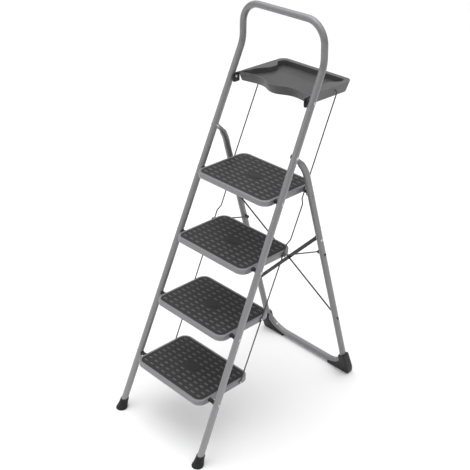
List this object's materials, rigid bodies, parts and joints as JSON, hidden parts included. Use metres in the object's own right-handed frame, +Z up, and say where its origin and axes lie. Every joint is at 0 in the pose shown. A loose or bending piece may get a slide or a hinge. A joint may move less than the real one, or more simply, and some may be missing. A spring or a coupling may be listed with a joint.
{
  "type": "step stool",
  "caption": "Folding steel step stool with wide flat treads between leaning rails, a hoop handle, a tool tray over the top tread and a braced rear frame.",
  "frame": {"origin": "on the floor, under the middle of the open stool's box", "axes": "+Z up, +Y the way the user faces when climbing, +X to the user's right"},
  "size_m": [0.4972, 0.8604, 1.5132],
  "materials": {
    "silver_enamel": "fine metallic silver-grey stove enamel, satin",
    "zinc_wire": "bright zinc-plated wire",
    "rivet_steel": "plain bright steel rivets and pins",
    "black_plastic": "fine-grained black moulding",
    "grey_tread": "ribbed dark grey tread with raised ovals",
    "tray_plastic": "fine-grained dark grey moulding, semi-matt",
    "dark_steel": "dark grey enamel, satin"
  },
  "bodies": {
    "front_frame": {"front_frame": "silver_enamel", "front_foot_left": "black_plastic", "front_foot_right": "black_plastic", "step_bush_1_left": "black_plastic", "step_bush_1_right": "black_plastic", "step_bush_2_left": "black_plastic", "step_bush_2_right": "black_plastic", "step_bush_3_left": "black_plastic", "step_bush_3_right": "black_plastic", "step_bush_4_left": "black_plastic", "step_bush_4_right": "black_plastic", "step_rivet_1_left": "rivet_steel", "step_rivet_1_right": "rivet_steel", "step_rivet_2_left": "rivet_steel", "step_rivet_2_right": "rivet_steel", "step_rivet_3_left": "rivet_steel", "step_rivet_3_right": "rivet_steel", "step_rivet_4_left": "rivet_steel", "step_rivet_4_right": "rivet_steel", "leg_rivet_left": "rivet_steel", "leg_rivet_right": "rivet_steel", "tray_rivet_left": "rivet_steel", "tray_rivet_right": "rivet_steel"},
    "rear_frame": {"rear_frame": "silver_enamel", "rear_shoe_left": "black_plastic", "rear_shoe_right": "black_plastic", "leg_peg_left": "silver_enamel", "leg_peg_right": "silver_enamel", "link_pin_left": "black_plastic", "link_pin_right": "black_plastic", "brace_rod": "dark_steel", "brace_bar": "dark_steel", "bar_rivet_upper": "rivet_steel", "bar_rivet_lower": "rivet_steel"},
    "step_1": {"step_pan_1": "silver_enamel", "step_mat_1": "grey_tread", "rod_pin_1_left": "rivet_steel", "rod_pin_1_right": "rivet_steel", "top_step_rest_left": "black_plastic", "top_step_rest_right": "black_plastic"},
    "step_2": {"step_pan_2": "silver_enamel", "step_mat_2": "grey_tread", "rod_pin_2_left": "rivet_steel", "rod_pin_2_right": "rivet_steel"},
    "step_3": {"step_pan_3": "silver_enamel", "step_mat_3": "grey_tread", "rod_pin_3_left": "rivet_steel", "rod_pin_3_right": "rivet_steel"},
    "step_4": {"step_pan_4": "silver_enamel", "step_mat_4": "grey_tread", "rod_pin_4_left": "rivet_steel", "rod_pin_4_right": "rivet_steel"},
    "tray": {"tray": "tray_plastic", "tray_spacer_left": "black_plastic", "tray_spacer_right": "black_plastic"},
    "rod_left": {"connecting_rod_left": "zinc_wire"},
    "rod_right": {"connecting_rod_right": "zinc_wire"},
    "link_left": {"step_link_left": "zinc_wire"},
    "link_right": {"step_link_right": "zinc_wire"}
  },
  "joints": [
    {"name": "rear_fold", "type": "hinge", "parent": "front_frame", "child": "rear_frame", "pos_m": [0, 0.08343, 1.06], "axis": [-1, 0, 0], "range_deg": [0, 40]},
    {"name": "step_1_fold", "type": "hinge", "parent": "front_frame", "child": "step_1", "pos_m": [0, 0.01392, 0.91], "axis": [1, 0, 0], "range_deg": [0, 60]},
    {"name": "step_2_fold", "type": "hinge", "parent": "front_frame", "child": "step_2", "pos_m": [0, -0.09266, 0.68], "axis": [1, 0, 0], "range_deg": [0, 60]},
    {"name": "step_3_fold", "type": "hinge", "parent": "front_frame", "child": "step_3", "pos_m": [0, -0.19923, 0.45], "axis": [1, 0, 0], "range_deg": [0, 60]},
    {"name": "step_4_fold", "type": "hinge", "parent": "front_frame", "child": "step_4", "pos_m": [0, -0.30581, 0.22], "axis": [1, 0, 0], "range_deg": [0, 60]},
    {"name": "tray_fold", "type": "hinge", "parent": "front_frame", "child": "tray", "pos_m": [0, 0.16545, 1.237], "axis": [1, 0, 0], "range_deg": [0, 60]},
    {"name": "rod_left_turn", "type": "hinge", "parent": "step_2", "child": "rod_left", "pos_m": [0, 0.05624, 0.68], "axis": [1, 0, 0], "range_deg": [-60, 0]},
    {"name": "rod_right_turn", "type": "hinge", "parent": "step_2", "child": "rod_right", "pos_m": [0, 0.05624, 0.68], "axis": [1, 0, 0], "range_deg": [-60, 0]},
    {"name": "link_left_turn", "type": "hinge", "parent": "rear_frame", "child": "link_left", "pos_m": [0, 0.24142, 0.622], "axis": [-1, 0, 0], "range_deg": [0, 50.17]},
    {"name": "link_right_turn", "type": "hinge", "parent": "rear_frame", "child": "link_right", "pos_m": [0, 0.24142, 0.622], "axis": [-1, 0, 0], "range_deg": [0, 50.17]}
  ],
  "couplings": [
    {"joint": "step_1_fold", "follows": "rear_fold", "ratio": 1.5},
    {"joint": "step_2_fold", "follows": "rear_fold", "ratio": 1.5},
    {"joint": "step_3_fold", "follows": "rear_fold", "ratio": 1.5},
    {"joint": "step_4_fold", "follows": "rear_fold", "ratio": 1.5},
    {"joint": "tray_fold", "follows": "rear_fold", "ratio": 1.5},
    {"joint": "rod_left_turn", "follows": "rear_fold", "ratio": -1.5},
    {"joint": "rod_right_turn", "follows": "rear_fold", "ratio": -1.5},
    {"joint": "link_left_turn", "follows": "rear_fold", "ratio": 1.2543},
    {"joint": "link_right_turn", "follows": "rear_fold", "ratio": 1.2543}
  ]
}
